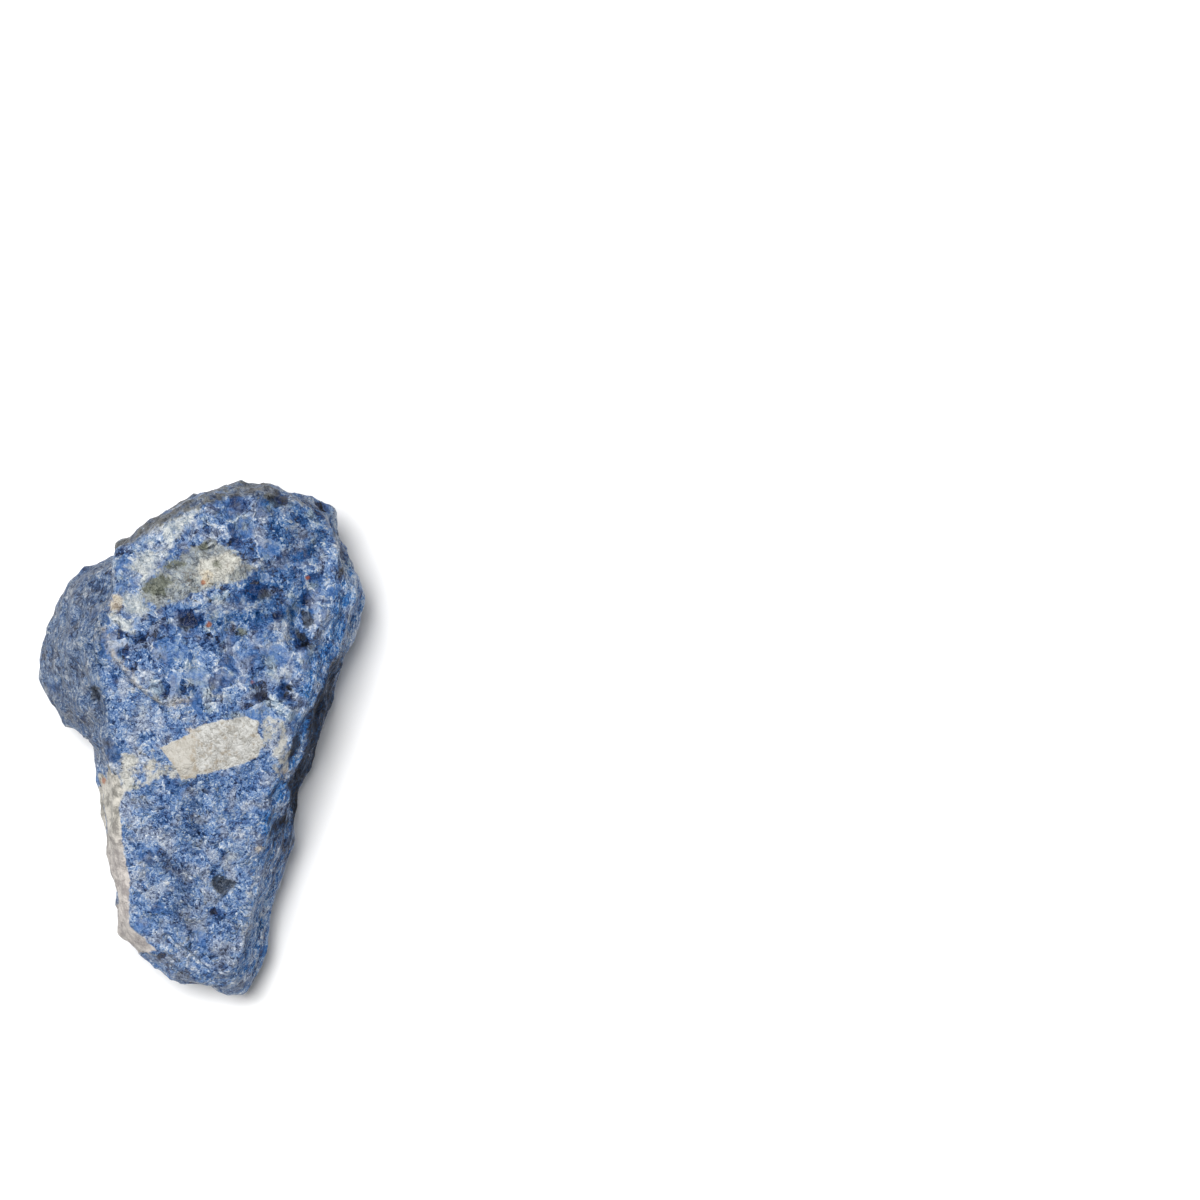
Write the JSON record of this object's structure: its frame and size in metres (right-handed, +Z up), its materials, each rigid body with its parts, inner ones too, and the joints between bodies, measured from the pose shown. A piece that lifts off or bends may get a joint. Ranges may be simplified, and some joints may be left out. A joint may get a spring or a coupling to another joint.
{
  "type": "rough sodalite stone",
  "caption": "Rough blue sodalite: a broken, angular stone with a broad fractured face, a stepped ledge, a tapering tail and a small flat spot it rests on.",
  "frame": {"origin": "middle of the stone's bounding box in plan, at the level of the flat spot it rests on", "axes": "+Z up, out of the broad broken face; +Y along the stone from its narrow tail to its blunt end; +X to the right with the tail towards the viewer"},
  "size_m": [0.0454, 0.072, 0.0261],
  "materials": {
    "sodalite": "rough broken mineral, dull to slightly vitreous"
  },
  "bodies": {
    "root": {"sodalite_stone": "sodalite"}
  },
  "joints": []
}
